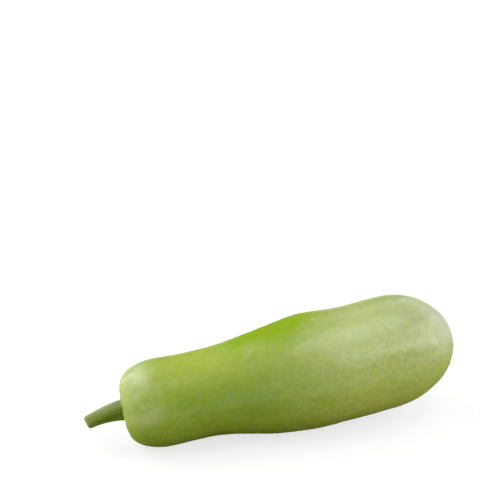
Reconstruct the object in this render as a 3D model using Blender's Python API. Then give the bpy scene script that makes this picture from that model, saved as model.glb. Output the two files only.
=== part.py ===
"""A bottle gourd lying on its side, as picked: the club-shaped fruit and its cut stem.

Units are metres and +Z is up. X runs along the gourd, from the stem at -X to the blossom
end at +X. The gourd rests on the plane Z = 0, and the origin is under the middle of its box.
"""

import math

import bmesh
import bpy
import numpy as np

# The fruit's outline. "Along" is the distance from the stem end, measured on the fruit's axis.
FRUIT_LENGTH = 0.280
NECK_RADIUS = 0.0364
BELLY_RADIUS = 0.0470
SWELL_START = 0.051
SWELL_END = 0.154
WAIST_DEPTH = 0.0015
WAIST_PLACE = 0.075
WAIST_SPREAD = 0.030
SHOULDER_LENGTH = 0.036
SHOULDER_POWER = 2.25
BLOSSOM_LENGTH = 0.065
BLOSSOM_POWER = 2.23

# How the fruit lies: its axis bends sideways a little and rises from the neck to the belly.
BEND_SLANT = -0.0055
BEND_BOW = 0.0088
BEND_HOOK = 0.0066
AXIS_HEIGHT = 0.0448
AXIS_RISE = 0.0254

# Uneven growth: three soft lobes all round, a slow wave along the upper back, and the fuller
# underside of the belly, which lay on the soil.
LOBES = 3
LOBE_HEIGHT = 0.0004
LOBE_TURN = 0.8
WAVE_HEIGHT = 0.0012
WAVE_LENGTH = 0.100
WAVE_PLACE = 0.158
WAVE_SPREAD = 0.065
WAVE_TURN = math.radians(65)
UNDERSIDE = math.radians(270)
PAD_FULLNESS = 0.0016
PAD_PLACE = 0.162
PAD_SPREAD = 0.025
PAD_WIDTH = math.radians(26)

# The stem end: a hollow inside a shoulder that leans forward on one side, and creases that
# run out of the hollow over the shoulder. The socket in its middle takes the stem's root.
CREST_RADIUS = 0.018
SHOULDER_LEAN = 0.0045
LEAN_TURN = math.radians(150)
HOLLOW_DEPTH = 0.009
CREASES = 10
CREASE_DEPTH = 0.0006
CREASE_PLACE = 0.014
CREASE_SPREAD = 0.006
SOCKET_RADIUS = 0.0093
SOCKET_DEPTH = 0.006

# The scar at the blossom end: a small dish with a button in it.
SCAR_RADIUS = 0.0055
SCAR_DEPTH = 0.0012
BUTTON_RADIUS = 0.0024
BUTTON_HEIGHT = 0.0009

# The stem: a five-ridged stalk, flared where it leaves the socket. It lifts a little off the
# fruit's axis, then droops below it to a square cut.
GAP = 0.0003
STEM_LENGTH = 0.0375
STEM_ROOT_RADIUS = SOCKET_RADIUS - GAP
STEM_CUT_RADIUS = 0.0051
STEM_FLARE = 1.4
STEM_LIFT = math.radians(6)
STEM_DROOP = math.radians(17.5)
STEM_DROOP_DIRECTION = (0.0, -0.37, -0.93)
STEM_RIDGES = 5
RIDGE_SHARE = 0.075
RIDGE_START = 0.010
RIDGE_TWIST = math.radians(20)
CUT_EDGE = 0.0007
CUT_DISH = 0.0007
CUT_DISH_SHARE = 0.6

# How finely the shapes are drawn.
FRUIT_SIDES = 60
BELLY_RINGS = 30
SHOULDER_RINGS = 9
HOLLOW_RINGS = 5
SCAR_RINGS = 4
STEM_SIDES = 30
STEM_RINGS = 13


def smooth_step(value, start, end):
    """0 before start, 1 after end, and an even swell between them."""
    share = np.clip((value - start) / (end - start), 0, 1)
    return share * share * (3 - 2 * share)


def bump(value, place, spread):
    """A soft bump of height 1 at place."""
    return np.exp(-(((value - place) / spread) ** 2))


def around(count):
    """Even steps of one turn. Zero is level, on the +Y side, and a quarter turn is the top."""
    return np.linspace(0, 2 * math.pi, count, endpoint=False)


def axis_point(along):
    """Where the fruit's axis runs, before the gourd is centred."""
    share = 2 * along / FRUIT_LENGTH - 1
    x = along - FRUIT_LENGTH / 2
    y = BEND_SLANT * share + BEND_BOW * share**2 + BEND_HOOK * share**3
    z = AXIS_HEIGHT + AXIS_RISE * share / 2
    return np.stack([x, y, z], axis=-1)


def axis_frame(along):
    """Unit vectors along the fruit's axis, to its side and to its top."""
    share = 2 * along / FRUIT_LENGTH - 1
    slope = (BEND_SLANT + 2 * BEND_BOW * share + 3 * BEND_HOOK * share**2) * 2 / FRUIT_LENGTH
    rise = np.full_like(slope, AXIS_RISE / FRUIT_LENGTH)
    forward = np.stack([np.ones_like(slope), slope, rise], axis=-1)
    forward /= np.linalg.norm(forward, axis=-1, keepdims=True)
    side = np.cross([0.0, 0.0, 1.0], forward)
    side /= np.linalg.norm(side, axis=-1, keepdims=True)
    return forward, side, np.cross(forward, side)


def rounding(share, power):
    """How far a rounded end has grown to full size, at a share of its length from the tip."""
    return (1 - (1 - np.clip(share, 0, 1)) ** power) ** (1 / power)


def outline_radius(along):
    """Radius of the fruit anywhere from the crest of its shoulder to the blossom tip."""
    swell = (BELLY_RADIUS - NECK_RADIUS) * smooth_step(along, SWELL_START, SWELL_END)
    body = NECK_RADIUS + swell - WAIST_DEPTH * bump(along, WAIST_PLACE, WAIST_SPREAD)
    body *= rounding((FRUIT_LENGTH - along) / BLOSSOM_LENGTH, BLOSSOM_POWER)
    shoulder = rounding(along / SHOULDER_LENGTH, SHOULDER_POWER)
    return CREST_RADIUS + (body - CREST_RADIUS) * shoulder


def hollow_depth(radius):
    """How deep the hollow round the stem is, at a radius inside the shoulder's crest."""
    return HOLLOW_DEPTH * np.cos(math.pi / 2 * radius / CREST_RADIUS) ** 2


def scar_depth(radius):
    """Depth of the blossom scar's dish below the rounded end, less the button in its middle."""
    dish = SCAR_DEPTH * (1 - smooth_step(radius, 0.35 * SCAR_RADIUS, SCAR_RADIUS))
    return dish - BUTTON_HEIGHT * (1 - smooth_step(radius, 0, BUTTON_RADIUS))


def fruit_outline():
    """Along and radius of the fruit's rings, from the blossom end to the socket's floor."""
    body_start = 1.15 * SHOULDER_LENGTH
    steps = np.linspace(0, math.pi, BELLY_RINGS + 2)[1:-1]
    body_along = body_start + (FRUIT_LENGTH - body_start) * (1 + np.cos(steps)) / 2
    steps = np.linspace(0, math.pi / 2, SHOULDER_RINGS + 1)
    shoulder_along = SHOULDER_LENGTH * (1 - np.sin(steps))
    outer_along = np.concatenate([body_along, shoulder_along])
    outer_radius = outline_radius(outer_along)
    clear_of_scar = outer_radius > 1.2 * SCAR_RADIUS

    scar_radius = SCAR_RADIUS * np.linspace(0, 1, SCAR_RINGS + 1)[1:]
    tip_along = np.linspace(FRUIT_LENGTH, FRUIT_LENGTH - SCAR_RADIUS, 100)
    scar_along = np.interp(scar_radius, outline_radius(tip_along), tip_along)
    scar_along -= scar_depth(scar_radius)

    hollow_radius = np.linspace(CREST_RADIUS, SOCKET_RADIUS, HOLLOW_RINGS + 1)[1:]
    hollow_along = hollow_depth(hollow_radius)
    floor_along = hollow_along[-1] + SOCKET_DEPTH
    outer_along = outer_along[clear_of_scar]
    outer_radius = outer_radius[clear_of_scar]
    along = np.concatenate([scar_along, outer_along, hollow_along, [floor_along]])
    radius = np.concatenate([scar_radius, outer_radius, hollow_radius, [SOCKET_RADIUS]])
    return along[:, None], radius[:, None]


def surface_lift(along, radius, turn):
    """How far the skin stands out from the plain outline: lobes, waves, pad and creases."""
    grown = smooth_step(along, 0.2 * SHOULDER_LENGTH, 1.5 * SHOULDER_LENGTH)
    grown = grown * smooth_step(FRUIT_LENGTH - along, 0, BLOSSOM_LENGTH)
    lobes = LOBE_HEIGHT * grown * np.cos(LOBES * turn + LOBE_TURN)
    wave = WAVE_HEIGHT * np.cos(2 * math.pi * (along - WAVE_PLACE) / WAVE_LENGTH)
    wave = wave * bump(along, WAVE_PLACE, WAVE_SPREAD) * (0.5 + 0.5 * np.cos(turn - WAVE_TURN))
    from_underside = np.arccos(np.cos(turn - UNDERSIDE))
    pad = PAD_FULLNESS * bump(along, PAD_PLACE, PAD_SPREAD) * bump(from_underside, 0, PAD_WIDTH)
    outside_socket = smooth_step(radius, SOCKET_RADIUS, 1.4 * SOCKET_RADIUS)
    crease = outside_socket * bump(np.hypot(along, radius), CREASE_PLACE, CREASE_SPREAD)
    crease = CREASE_DEPTH * crease * (0.5 + 0.5 * np.cos(CREASES * turn)) ** 2
    return lobes + wave + pad - crease


def fruit_rings():
    """The fruit's rings of points, and the points that close it at either end."""
    along, radius = fruit_outline()
    turn = around(FRUIT_SIDES)
    step_along = np.gradient(along, axis=0)
    step_radius = np.gradient(radius, axis=0)
    step = np.hypot(step_along, step_radius)
    lift = surface_lift(along, radius, turn)
    near_crest = 1 - smooth_step(along, 0, SHOULDER_LENGTH)
    near_crest = near_crest * smooth_step(radius, SOCKET_RADIUS, CREST_RADIUS)
    lean = SHOULDER_LEAN * near_crest * np.cos(turn - LEAN_TURN)
    lifted_along = along + lift * step_radius / step - lean
    lifted_radius = radius - lift * step_along / step

    _, side, top = axis_frame(lifted_along)
    outward = np.cos(turn)[:, None] * side + np.sin(turn)[:, None] * top
    points = axis_point(lifted_along) + lifted_radius[..., None] * outward
    points[..., 2] = np.maximum(points[..., 2], 0)
    scar_middle = axis_point(np.array(FRUIT_LENGTH - scar_depth(0.0)))
    socket_floor = axis_point(along[-1, 0])
    return points, scar_middle, socket_floor


def stem_outline():
    """Distance out of the socket and radius of the stem's rings, from its root to its cut."""
    root = GAP - SOCKET_DEPTH
    shaft = np.linspace(root / 2, STEM_LENGTH - CUT_EDGE, STEM_RINGS)
    out = np.concatenate([[root], shaft, [STEM_LENGTH, STEM_LENGTH - CUT_DISH]])
    share = np.clip(out / STEM_LENGTH, 0, 1)
    flare = (STEM_ROOT_RADIUS - STEM_CUT_RADIUS) * (1 - share) ** STEM_FLARE
    radius = STEM_CUT_RADIUS + flare
    radius[-2] -= CUT_EDGE
    radius[-1] = CUT_DISH_SHARE * radius[-2]
    return out[:, None], radius[:, None]


def stem_rings():
    """The stem's rings of points, and the points that close its root and its cut."""
    out, radius = stem_outline()
    rim = np.array(hollow_depth(SOCKET_RADIUS))
    forward, side, _ = axis_frame(rim)
    base = -forward
    droop = np.array(STEM_DROOP_DIRECTION)
    droop -= base * (droop @ base)
    droop /= np.linalg.norm(droop)

    full_bend = STEM_LIFT + STEM_DROOP
    arc_radius = STEM_LENGTH / full_bend
    bend = full_bend * np.clip(out, 0, None) / STEM_LENGTH - STEM_LIFT
    reach = arc_radius * (np.sin(bend) + math.sin(STEM_LIFT)) + np.clip(out, None, 0)
    drop = arc_radius * (math.cos(STEM_LIFT) - np.cos(bend))
    centre = axis_point(rim) + base * reach + droop * drop
    bend = bend * (out > 0)
    ahead = base * np.cos(bend) + droop * np.sin(bend)
    across = np.cross(ahead, side)
    across /= np.linalg.norm(across, axis=-1, keepdims=True)
    level = np.cross(across, ahead)

    turn = around(STEM_SIDES)
    twist = RIDGE_TWIST * out / STEM_LENGTH
    ridge = RIDGE_SHARE * smooth_step(out, 0, RIDGE_START) * np.cos(STEM_RIDGES * (turn + twist))
    ridged = radius * (1 + ridge)
    outward = np.cos(turn)[:, None] * level[:, None] + np.sin(turn)[:, None] * across[:, None]
    return centre[:, None] + ridged[..., None] * outward, centre[0], centre[-1]


def loft(name, rings, first_point, last_point, material):
    """One closed solid through the rings, with a fan of triangles to a point at each end."""
    maker = bmesh.new()
    rows = [[maker.verts.new(point) for point in ring] for ring in rings]
    for row, following in zip(rows, rows[1:]):
        for i in range(len(row)):
            j = (i + 1) % len(row)
            maker.faces.new((row[i], row[j], following[j], following[i]))
    for row, point in ((rows[0], first_point), (rows[-1], last_point)):
        tip = maker.verts.new(point)
        for i in range(len(row)):
            maker.faces.new((row[i], row[(i + 1) % len(row)], tip))
    bmesh.ops.recalc_face_normals(maker, faces=maker.faces)
    mesh = bpy.data.meshes.new(name)
    maker.to_mesh(mesh)
    maker.free()
    mesh.materials.append(material)
    mesh.shade_smooth()
    mesh.set_sharp_from_angle(angle=math.radians(40))
    bpy.context.scene.collection.objects.link(bpy.data.objects.new(name, mesh))


def plain_material(name, colour, roughness):
    """A Principled material of one colour."""
    material = bpy.data.materials.new(name)
    material.use_nodes = True
    shader = material.node_tree.nodes["Principled BSDF"]
    shader.inputs["Base Color"].default_value = (*colour, 1.0)
    shader.inputs["Roughness"].default_value = roughness
    shader.inputs["Metallic"].default_value = 0.0
    material.diffuse_color = (*colour, 1.0)
    return material


def main():
    for thing in list(bpy.data.objects):
        bpy.data.objects.remove(thing)

    fruit, scar_middle, socket_floor = fruit_rings()
    stem, root_middle, cut_middle = stem_rings()
    everything = np.concatenate([fruit.reshape(-1, 3), stem.reshape(-1, 3)])
    middle = (everything.min(axis=0) + everything.max(axis=0)) / 2
    middle[2] = 0.0

    skin = plain_material("gourd_skin", (0.31, 0.44, 0.05), 0.42)
    green_stem = plain_material("stem_green", (0.22, 0.27, 0.07), 0.60)
    loft("fruit", fruit - middle, scar_middle - middle, socket_floor - middle, skin)
    loft("stem", stem - middle, root_middle - middle, cut_middle - middle, green_stem)


main()
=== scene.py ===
# %% [markdown]
# A bottle gourd, lying on its side.
# A bottle gourd is a club-shaped fruit. A neck at the stem end swells into a belly, and the far end
# is round, with a small scar where the blossom sat. This lesson makes one as it comes from the
# market: picked young, with a waxy green skin and a short piece of stem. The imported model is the
# frame. It fixes where everything goes, and each finer piece made here stands in for its solid.

# %% Load the frame
import math

import bmesh
import bpy
import numpy as np
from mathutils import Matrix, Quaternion, Vector, noise


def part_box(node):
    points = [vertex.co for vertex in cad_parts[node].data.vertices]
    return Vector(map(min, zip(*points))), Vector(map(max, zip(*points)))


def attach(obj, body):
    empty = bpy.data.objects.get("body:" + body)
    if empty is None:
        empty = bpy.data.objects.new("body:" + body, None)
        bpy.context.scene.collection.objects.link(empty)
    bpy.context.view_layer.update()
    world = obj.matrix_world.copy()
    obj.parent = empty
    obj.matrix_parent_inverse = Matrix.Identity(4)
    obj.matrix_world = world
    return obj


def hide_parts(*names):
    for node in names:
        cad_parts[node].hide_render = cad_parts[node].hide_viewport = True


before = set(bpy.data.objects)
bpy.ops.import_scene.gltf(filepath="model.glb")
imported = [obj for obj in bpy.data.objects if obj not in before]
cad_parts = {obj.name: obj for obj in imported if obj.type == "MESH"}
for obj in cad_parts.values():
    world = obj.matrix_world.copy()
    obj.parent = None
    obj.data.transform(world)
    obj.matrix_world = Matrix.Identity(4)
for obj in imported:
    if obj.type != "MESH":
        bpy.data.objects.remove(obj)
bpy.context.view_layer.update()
print("nodes in the frame:", sorted(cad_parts))

# %% [markdown]
# Growth is smooth. Nothing on a gourd starts or stops at a line, so every form below fades in and
# out. Two small curves do all of that: an even step from 0 to 1, and a soft bump.

# %% Two soft curves, and one turn round
def smooth_step(value, start, end):
    """0 before start, 1 after end, and an even swell between them."""
    share = np.clip((value - start) / (end - start), 0, 1)
    return share * share * (3 - 2 * share)


def bump(value, place, spread):
    """A soft bump of height 1 at place."""
    return np.exp(-(((value - place) / spread) ** 2))


def around(count):
    """Even steps of one turn. Zero is level, on the +Y side, and a quarter turn is the top."""
    return np.linspace(0, 2 * math.pi, count, endpoint=False)


print("a step half way up:", smooth_step(0.5, 0, 1))

# %% [markdown]
# The axis. A gourd bends a little as it hangs and lies, and this one rises from its thin neck to
# its thick belly because it lies on both. A curve object could carry the bend, but three numbers
# in a formula say it plainly, and a point and its directions follow for any place on the axis.

# %% The fruit's axis
FRUIT_LENGTH = 0.280
BEND_SLANT = -0.0055
BEND_BOW = 0.0088
BEND_HOOK = 0.0066
AXIS_HEIGHT = 0.0448
AXIS_RISE = 0.0254


def axis_point(along):
    """Where the fruit's axis runs, at a distance along it from the stem end."""
    share = 2 * along / FRUIT_LENGTH - 1
    x = along - FRUIT_LENGTH / 2
    y = BEND_SLANT * share + BEND_BOW * share**2 + BEND_HOOK * share**3
    z = AXIS_HEIGHT + AXIS_RISE * share / 2
    return np.stack([x, y, z], axis=-1)


def axis_frame(along):
    """Unit vectors along the fruit's axis, to its side and to its top."""
    share = 2 * along / FRUIT_LENGTH - 1
    slope = (BEND_SLANT + 2 * BEND_BOW * share + 3 * BEND_HOOK * share**2) * 2 / FRUIT_LENGTH
    rise = np.full_like(slope, AXIS_RISE / FRUIT_LENGTH)
    forward = np.stack([np.ones_like(slope), slope, rise], axis=-1)
    forward /= np.linalg.norm(forward, axis=-1, keepdims=True)
    side = np.cross([0.0, 0.0, 1.0], forward)
    side /= np.linalg.norm(side, axis=-1, keepdims=True)
    return forward, side, np.cross(forward, side)


print("the axis runs from", axis_point(0.0).round(3), "to", axis_point(FRUIT_LENGTH).round(3))

# %% [markdown]
# The outline. Turned round the axis, one line gives the whole body: a neck with a faint waist, a
# long swell to the belly, a blunt shoulder at the stem end and a rounder blossom end. The two ends
# are superellipse arcs, a circle's formula with a power of its own, because a real shoulder is
# fuller than a circle.

# %% The fruit's outline
NECK_RADIUS = 0.0364
BELLY_RADIUS = 0.0470
SWELL_START = 0.051
SWELL_END = 0.154
WAIST_DEPTH = 0.0015
WAIST_PLACE = 0.075
WAIST_SPREAD = 0.030
CREST_RADIUS = 0.018
SHOULDER_LENGTH = 0.036
SHOULDER_POWER = 2.25
BLOSSOM_LENGTH = 0.065
BLOSSOM_POWER = 2.23


def rounding(share, power):
    """How far a rounded end has grown to full size, at a share of its length from the tip."""
    return (1 - (1 - np.clip(share, 0, 1)) ** power) ** (1 / power)


def outline_radius(along):
    """Radius of the fruit anywhere from the crest of its shoulder to the blossom tip."""
    swell = (BELLY_RADIUS - NECK_RADIUS) * smooth_step(along, SWELL_START, SWELL_END)
    body = NECK_RADIUS + swell - WAIST_DEPTH * bump(along, WAIST_PLACE, WAIST_SPREAD)
    body *= rounding((FRUIT_LENGTH - along) / BLOSSOM_LENGTH, BLOSSOM_POWER)
    shoulder = rounding(along / SHOULDER_LENGTH, SHOULDER_POWER)
    return CREST_RADIUS + (body - CREST_RADIUS) * shoulder


print("radius in mm at the waist:", round(outline_radius(WAIST_PLACE) * 1000, 1))

# %% [markdown]
# The two ends. Inside the shoulder the skin dips into a hollow, and the stem's root sits in a
# socket in the middle of it. At the other end the blossom left a small dish with a dry button.

# %% The hollow round the stem and the blossom scar
HOLLOW_DEPTH = 0.009
SOCKET_RADIUS = 0.0093
SOCKET_DEPTH = 0.006
SCAR_RADIUS = 0.0055
SCAR_FLOOR = 0.35 * SCAR_RADIUS
SCAR_DEPTH = 0.0012
BUTTON_RADIUS = 0.0024
BUTTON_HEIGHT = 0.0009


def hollow_depth(radius):
    """How deep the hollow round the stem is, at a radius inside the shoulder's crest."""
    return HOLLOW_DEPTH * np.cos(math.pi / 2 * radius / CREST_RADIUS) ** 2


def scar_depth(radius):
    """Depth of the blossom scar's dish below the rounded end, less the button in its middle."""
    dish = SCAR_DEPTH * (1 - smooth_step(radius, SCAR_FLOOR, SCAR_RADIUS))
    return dish - BUTTON_HEIGHT * (1 - smooth_step(radius, 0, BUTTON_RADIUS))


print("the hollow is", round(hollow_depth(SOCKET_RADIUS) * 1000, 1), "mm deep at the stem")

# %% [markdown]
# One line of points for the whole fruit. Rings stand close together where the line turns quickly,
# at the scar, the blossom end and the crest, and wider apart along the body.

# %% The line that is turned round the axis
BODY_RINGS = 170
BODY_START = 1.15 * SHOULDER_LENGTH
SHOULDER_RINGS = 36
HOLLOW_RINGS = 18
SCAR_RINGS = 14
SCAR_EDGE = 1.05 * SCAR_RADIUS
TIP_SAMPLES = 100
SOCKET_RINGS = 3


def fruit_outline():
    """Along and radius of the fruit's rings, from the blossom end to the socket's floor."""
    steps = np.linspace(0, math.pi, BODY_RINGS + 2)[1:-1]
    body_along = BODY_START + (FRUIT_LENGTH - BODY_START) * (1 + np.cos(steps)) / 2
    steps = np.linspace(0, math.pi / 2, SHOULDER_RINGS + 1)
    shoulder_along = SHOULDER_LENGTH * (1 - np.sin(steps))
    outer_along = np.concatenate([body_along, shoulder_along])
    outer_radius = outline_radius(outer_along)
    clear_of_scar = outer_radius > SCAR_EDGE
    outer_along = outer_along[clear_of_scar]
    outer_radius = outer_radius[clear_of_scar]

    scar_radius = SCAR_RADIUS * np.linspace(0, 1, SCAR_RINGS + 1)[1:]
    tip_along = np.linspace(FRUIT_LENGTH, FRUIT_LENGTH - SCAR_RADIUS, TIP_SAMPLES)
    scar_along = np.interp(scar_radius, outline_radius(tip_along), tip_along)
    scar_along -= scar_depth(scar_radius)

    hollow_radius = np.linspace(CREST_RADIUS, SOCKET_RADIUS, HOLLOW_RINGS + 1)[1:]
    hollow_along = hollow_depth(hollow_radius)
    wall_along = hollow_along[-1] + SOCKET_DEPTH * np.linspace(0, 1, SOCKET_RINGS + 1)[1:]
    wall_radius = np.full(SOCKET_RINGS, SOCKET_RADIUS)
    along = np.concatenate([scar_along, outer_along, hollow_along, wall_along])
    radius = np.concatenate([scar_radius, outer_radius, hollow_radius, wall_radius])
    return along[:, None], radius[:, None]


outline_along, outline_out = fruit_outline()
print("rings on the fruit:", len(outline_along))

# %% [markdown]
# Uneven growth. No gourd is truly round. This one has three faint lobes, a slow wave along its
# upper back, and a fuller underside where the belly lay on the soil. They are small lifts of the
# skin, added outward from the plain outline.

# %% Lobes, a wave and the pad underneath
LOBES = 3
LOBE_HEIGHT = 0.0004
LOBE_TURN = 0.8
LOBE_START = 0.2 * SHOULDER_LENGTH
LOBE_FULL = 1.5 * SHOULDER_LENGTH
WAVE_HEIGHT = 0.0012
WAVE_LENGTH = 0.100
WAVE_PLACE = 0.158
WAVE_SPREAD = 0.065
WAVE_TURN = math.radians(65)
UNDERSIDE = math.radians(270)
PAD_FULLNESS = 0.0016
PAD_PLACE = 0.162
PAD_SPREAD = 0.025
PAD_WIDTH = math.radians(26)


def away_from(turn, middle):
    """The angle between each turn and a middle one, the short way round."""
    return np.arccos(np.clip(np.cos(turn - middle), -1, 1))


def growth_lift(along, turn):
    """How far the lobes, the wave and the pad stand out from the plain outline."""
    grown = smooth_step(along, LOBE_START, LOBE_FULL)
    grown = grown * smooth_step(FRUIT_LENGTH - along, 0, BLOSSOM_LENGTH)
    lobes = LOBE_HEIGHT * grown * np.cos(LOBES * turn + LOBE_TURN)
    wave = WAVE_HEIGHT * np.cos(2 * math.pi * (along - WAVE_PLACE) / WAVE_LENGTH)
    wave = wave * bump(along, WAVE_PLACE, WAVE_SPREAD) * (0.5 + 0.5 * np.cos(turn - WAVE_TURN))
    pad = bump(along, PAD_PLACE, PAD_SPREAD) * bump(away_from(turn, UNDERSIDE), 0, PAD_WIDTH)
    return lobes + wave + PAD_FULLNESS * pad


print("the wave stands", WAVE_HEIGHT * 1000, "mm high")

# %% [markdown]
# Creases. The skin is drawn in towards the stem, so creases run out of the hollow, over the crest
# and a little way down the shoulder. Ten deep ones come from the solid. Between them lie finer
# ones of uneven depth, which a plain cosine can't give, so each crease has a depth of its own.

# %% Creases at the stem end
CREASE_START = 1.4 * SOCKET_RADIUS
CREASES = 10
CREASE_DEPTH = 0.0006
CREASE_PLACE = 0.014
CREASE_SPREAD = 0.006
FINE_CREASES = 30
FINE_CREASE_DEPTH = 0.00022
FINE_CREASE_PLACE = 0.018
FINE_CREASE_SPREAD = 0.008
WANDER_TURN = 0.03
WANDER_LENGTH = 0.004
WANDERS = 3

crease_seed = np.random.default_rng(7)
fine_depths = crease_seed.uniform(0.15, 1.0, FINE_CREASES)


def crease_depths(along, radius, turn):
    """How deep the skin is drawn in by the main and the fine creases."""
    from_middle = np.hypot(along, radius)
    outside_socket = smooth_step(radius, SOCKET_RADIUS, CREASE_START)
    main = outside_socket * bump(from_middle, CREASE_PLACE, CREASE_SPREAD)
    main = CREASE_DEPTH * main * (0.5 + 0.5 * np.cos(CREASES * turn)) ** 2
    wander = turn + WANDER_TURN * np.sin(from_middle / WANDER_LENGTH + WANDERS * turn)
    nearest = np.round(wander * FINE_CREASES / (2 * math.pi)).astype(int) % FINE_CREASES
    fine = outside_socket * bump(from_middle, FINE_CREASE_PLACE, FINE_CREASE_SPREAD)
    fine = FINE_CREASE_DEPTH * fine * fine_depths[nearest]
    fine = fine * (0.5 + 0.5 * np.cos(FINE_CREASES * wander)) ** 2
    return main, fine


print("fine creases:", FINE_CREASES, "up to", FINE_CREASE_DEPTH * 1000, "mm deep")

# %% [markdown]
# The fruit's points. Each ring is set round the bent axis, its points are lifted by the growth
# forms and drawn in by the creases, and the shoulder leans over the stem on one side. Dents a few
# tenths of a millimetre deep come last. They are too faint to see alone, but they break up the
# reflections as on a real skin. Blender's noise gives the same dents on every run.

# %% The fruit's skin, point by point
FRUIT_SIDES = 240
SHOULDER_LEAN = 0.0045
LEAN_TURN = math.radians(150)
DENT_DEPTH = 0.00036
DENT_SIZE = 0.022
DENT_START = 1.2 * SOCKET_RADIUS
DENT_FULL = 2 * SOCKET_RADIUS
NOISE_SMOOTHNESS = 0.9
NOISE_RATIO = 2.2
NOISE_LAYERS = 3


def unevenness(points, size):
    """A slow unevenness of a given size at each point, from about -1 to 1."""
    flat = points.reshape(-1, 3) / size
    layers = (NOISE_SMOOTHNESS, NOISE_RATIO, NOISE_LAYERS)
    heights = [noise.fractal(Vector(point), *layers) for point in flat]
    return np.array(heights).reshape(points.shape[:-1])


def round_axis(along, radius, turn):
    """Points at a distance along the axis, a radius from it and a turn round it."""
    _, side, top = axis_frame(along)
    outward = np.cos(turn)[:, None] * side + np.sin(turn)[:, None] * top
    return axis_point(along) + radius[..., None] * outward


def fruit_rings():
    """The fruit's rings of points, the points that close its ends, and how creased each is."""
    along, radius = outline_along, outline_out
    turn = around(FRUIT_SIDES)
    step_along = np.gradient(along, axis=0)
    step_radius = np.gradient(radius, axis=0)
    step = np.hypot(step_along, step_radius)
    main, fine = crease_depths(along, radius, turn)
    lift = growth_lift(along, turn) - main - fine
    dented = smooth_step(radius, DENT_START, DENT_FULL)
    plain = round_axis(along, radius, turn)
    lift = lift + DENT_DEPTH * dented * unevenness(plain, DENT_SIZE)

    near_crest = 1 - smooth_step(along, 0, SHOULDER_LENGTH)
    near_crest = near_crest * smooth_step(radius, SOCKET_RADIUS, CREST_RADIUS)
    lean = SHOULDER_LEAN * near_crest * np.cos(turn - LEAN_TURN)
    lifted_along = along + lift * step_radius / step - lean
    lifted_radius = radius - lift * step_along / step
    points = round_axis(lifted_along, lifted_radius, turn)
    scar_middle = axis_point(np.array(FRUIT_LENGTH - scar_depth(0.0)))
    socket_floor = axis_point(along[-1, 0])
    return points, scar_middle, socket_floor, (main + fine) / CREASE_DEPTH


fruit_points, scar_middle, socket_floor, creased = fruit_rings()
print("points on the fruit:", fruit_points.shape[0] * fruit_points.shape[1])

# %% [markdown]
# Laid on the frame. The formulas put the fruit round its own axis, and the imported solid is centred
# over the whole gourd's box. The middle of the solid's box gives that small shift, and the points
# are kept inside the box and above the surface that the gourd rests on.

# %% Shift to the frame
solid_low, solid_high = np.array(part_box("fruit"))
here = (fruit_points.min(axis=(0, 1)) + fruit_points.max(axis=(0, 1))) / 2
frame_shift = (solid_low + solid_high) / 2 - here
frame_shift[2] = 0.0
fruit_points = np.clip(fruit_points + frame_shift, solid_low, solid_high)
scar_middle = scar_middle + frame_shift
socket_floor = socket_floor + frame_shift
print("shift to the frame in mm:", (frame_shift * 1000).round(2))

# %% [markdown]
# A mesh from rings. Neighbouring rings are joined by four-sided faces. Fans of triangles close the
# ends of a piece that has ends, and a ring's last section is joined to its first. Smooth shading
# hides the facets. Values that the materials need, such as how far along the fruit a point is, are
# kept on the mesh as named attributes.

# %% Join rings into a closed mesh
SHARP_DEGREES = 40


def put_in_scene(name, data):
    """Makes an object of a mesh, a light or a camera, and puts it in the scene."""
    thing = bpy.data.objects.new(name, data)
    bpy.context.scene.collection.objects.link(thing)
    return thing


def loft(name, rings, ends=()):
    """One closed mesh through the rings, with a fan to each end point or else joined in a loop."""
    maker = bmesh.new()
    rows = [[maker.verts.new(point) for point in ring] for ring in rings]
    following_rows = rows[1:] if ends else rows[1:] + rows[:1]
    for row, following in zip(rows, following_rows):
        for i in range(len(row)):
            j = (i + 1) % len(row)
            maker.faces.new((row[i], row[j], following[j], following[i]))
    for row, point in zip((rows[0], rows[-1]), ends):
        tip = maker.verts.new(point)
        for i in range(len(row)):
            maker.faces.new((row[i], row[(i + 1) % len(row)], tip))
    bmesh.ops.recalc_face_normals(maker, faces=maker.faces)
    mesh = bpy.data.meshes.new(name)
    maker.to_mesh(mesh)
    maker.free()
    mesh.shade_smooth()
    if ends:
        mesh.set_sharp_from_angle(angle=math.radians(SHARP_DEGREES))
    return put_in_scene(name, mesh)


def keep_value(piece, name, values, first, last):
    """Keeps one number or vector for each point of a lofted mesh, under a name."""
    values = np.concatenate([values.reshape(-1, *values.shape[2:]), [first], [last]])
    kind, field = ("FLOAT_VECTOR", "vector") if values.ndim == 2 else ("FLOAT", "value")
    layer = piece.data.attributes.new(name, kind, "POINT")
    layer.data.foreach_set(field, np.ascontiguousarray(values, dtype=np.float32).ravel())


fruit = loft("gourd_fruit", fruit_points, (scar_middle, socket_floor))
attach(fruit, "root")
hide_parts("fruit")
print("faces on the fruit:", len(fruit.data.polygons))

# %% [markdown]
# Where each point of the skin grew. Marks on a gourd follow its growth: streaks run from end to
# end, and the colour fades along the fruit. A straightened copy of each point's place, as if the
# fruit were a plain cylinder, lets them follow the bend. Masks from 0 to 1 say where the hollow,
# the scar and the creases are. The scar has a colour of its own, and the hollow and the creases
# get a darker painted shade.

# %% Growth coordinates on the skin
def straightened(along, radius, turn):
    """Each point's place as if the piece were a straight cylinder."""
    parts = np.broadcast_arrays(along, radius * np.cos(turn), radius * np.sin(turn))
    return np.stack(parts, axis=-1)


fruit_turn = around(FRUIT_SIDES)
growth = straightened(outline_along, BELLY_RADIUS, fruit_turn)
keep_value(fruit, "growth", growth, (FRUIT_LENGTH, 0, 0), (0, 0, 0))
print("the skin's growth coordinates:", growth.shape)

# %% The hollow, the scar and the creases
STAIN_START = 0.55 * SCAR_RADIUS
STAIN_END = 1.3 * SCAR_RADIUS

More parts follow.
